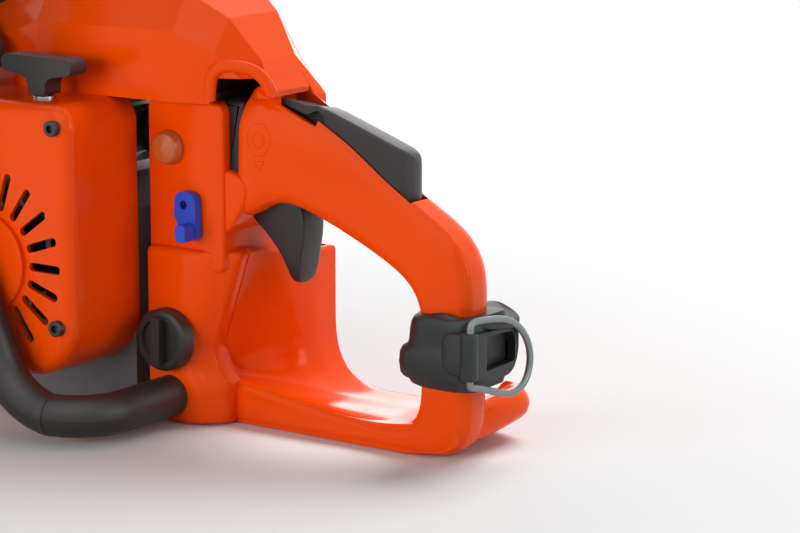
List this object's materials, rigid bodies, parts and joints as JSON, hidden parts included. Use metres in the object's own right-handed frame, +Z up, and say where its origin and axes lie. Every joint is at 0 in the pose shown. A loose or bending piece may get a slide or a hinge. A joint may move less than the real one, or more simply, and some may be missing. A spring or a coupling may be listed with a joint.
{
  "type": "chainsaw",
  "caption": "Petrol chainsaw with a rear handle, guide bar and chain, rope starter, sprung throttle controls and a lanyard clamp on the rear post.",
  "frame": {"origin": "on the ground under the crankshaft's axis, where the two crankcase halves meet", "axes": "+Z up, -X forward along the guide bar, +Y to the bar's side, which is the saw's right"},
  "size_m": [0.7592, 0.226, 0.312],
  "materials": {
    "orange_shell": "glossy",
    "dark_grey_plastic": "satin",
    "black_plastic": "satin",
    "cast_magnesium": "cast, satin",
    "machined_steel": "satin",
    "bright_steel": "polished",
    "dark_steel": "blackened",
    "ring_steel": "satin",
    "cast_aluminium": "as cast",
    "rubber": "matte",
    "blue_plastic": "satin",
    "clear_rubber": "satin",
    "filter_felt": "matte",
    "rope_fibre": "matte",
    "ceramic": "glossy"
  },
  "bodies": {
    "saw": {"air_filter": "filter_felt", "av_buffers": "rubber", "bar_nuts": "bright_steel", "bar_studs": "bright_steel", "brake_band": "dark_steel", "carburettor": "cast_aluminium", "chain_catcher": "cast_aluminium", "chain_cutters": "bright_steel", "chain_drive_links": "dark_steel", "chain_tensioner": "machined_steel", "chain_tie_straps": "machined_steel", "clutch_cover": "dark_grey_plastic", "clutch_drum": "machined_steel", "connecting_rod": "machined_steel", "crank_pin": "bright_steel", "crank_seals": "rubber", "crankcase_left": "cast_magnesium", "crankcase_right": "cast_magnesium", "cylinder": "cast_aluminium", "front_handle": "dark_grey_plastic", "guide_bar": "machined_steel", "housing_screws": "dark_steel", "ignition_coil": "black_plastic", "intake_boot": "rubber", "lanyard_clamp": "dark_grey_plastic", "lever_pins": "machined_steel", "main_bearings": "bright_steel", "muffler": "dark_steel", "needle_bearing": "bright_steel", "nose_sprocket": "dark_steel", "oil_pump": "cast_aluminium", "piston": "cast_aluminium", "piston_pin": "bright_steel", "rear_handle_tank": "orange_shell", "recoil_spring": "machined_steel", "rim_sprocket": "machined_steel", "rope_bush": "bright_steel", "spark_plug": "ceramic", "spark_plug_cap": "rubber", "spiked_bumper": "dark_steel", "starter_cover": "orange_shell", "top_cover": "orange_shell"},
    "trigger": {"throttle_trigger": "dark_grey_plastic"},
    "lockout": {"throttle_lockout": "dark_grey_plastic"},
    "choke": {"choke_lever": "blue_plastic"},
    "primer": {"primer_bulb": "clear_rubber"},
    "fuel_cap_body": {"fuel_cap": "dark_grey_plastic"},
    "oil_cap_body": {"oil_cap": "dark_grey_plastic"},
    "ring": {"lanyard_ring": "ring_steel"},
    "guard": {"hand_guard": "dark_grey_plastic"},
    "crank": {"crankshaft": "machined_steel", "flywheel": "cast_aluminium", "starter_pawls": "machined_steel", "shaft_nuts": "bright_steel", "clutch_hub": "machined_steel", "clutch_shoes": "machined_steel", "oil_pump_worm": "machined_steel"},
    "pulley": {"starter_pulley": "black_plastic"},
    "pull": {"starter_handle": "dark_grey_plastic", "starter_rope": "rope_fibre"}
  },
  "joints": [
    {"name": "trigger_pull", "type": "hinge", "parent": "saw", "child": "trigger", "pos_m": [0.128, -0.004, 0.141], "axis": [0, -1, 0], "range_deg": [0, 14], "stiffness_Nm_per_rad": 0.3},
    {"name": "lockout_press", "type": "hinge", "parent": "saw", "child": "lockout", "pos_m": [0.15, -0.004, 0.182], "axis": [0, 1, 0], "range_deg": [0, 10], "stiffness_Nm_per_rad": 0.4},
    {"name": "choke_turn", "type": "hinge", "parent": "saw", "child": "choke", "pos_m": [0.098, -0.039, 0.129], "axis": [0, 1, 0], "range_deg": [0, 50]},
    {"name": "primer_press", "type": "slide", "parent": "saw", "child": "primer", "axis": [0, 1, 0], "range_m": [0, 0.005], "stiffness_N_per_m": 400},
    {"name": "fuel_cap_turn", "type": "hinge", "parent": "saw", "child": "fuel_cap_body", "pos_m": [0.086, -0.048, 0.05], "axis": [0, -1, 0], "range_deg": [0, 90]},
    {"name": "oil_cap_turn", "type": "hinge", "parent": "saw", "child": "oil_cap_body", "pos_m": [-0.08, -0.045, 0.034], "axis": [0, -1, 0], "range_deg": [0, 90]},
    {"name": "ring_swing", "type": "hinge", "parent": "saw", "child": "ring", "pos_m": [0.2845, -0.029, 0.062], "axis": [0, 0, -1], "range_deg": [0, 165]},
    {"name": "guard_tilt", "type": "hinge", "parent": "saw", "child": "guard", "pos_m": [-0.03, 0, 0.206], "axis": [0, -1, 0], "range_deg": [0, 20]},
    {"name": "crank_spin", "type": "hinge", "parent": "saw", "child": "crank", "pos_m": [0, 0, 0.095], "axis": [0, 1, 0], "continuous": true},
    {"name": "starter_pull", "type": "slide", "parent": "saw", "child": "pull", "axis": [0, 0, 1], "range_m": [0, 0.8], "deforming": ["starter_rope"]},
    {"name": "pulley_turn", "type": "hinge", "parent": "saw", "child": "pulley", "pos_m": [0, -0.074, 0.095], "axis": [0, 1, 0], "range_deg": [-1900, 0]}
  ],
  "couplings": [
    {"joint": "pulley_turn", "follows": "starter_pull", "rad_per_m": -41.408}
  ]
}
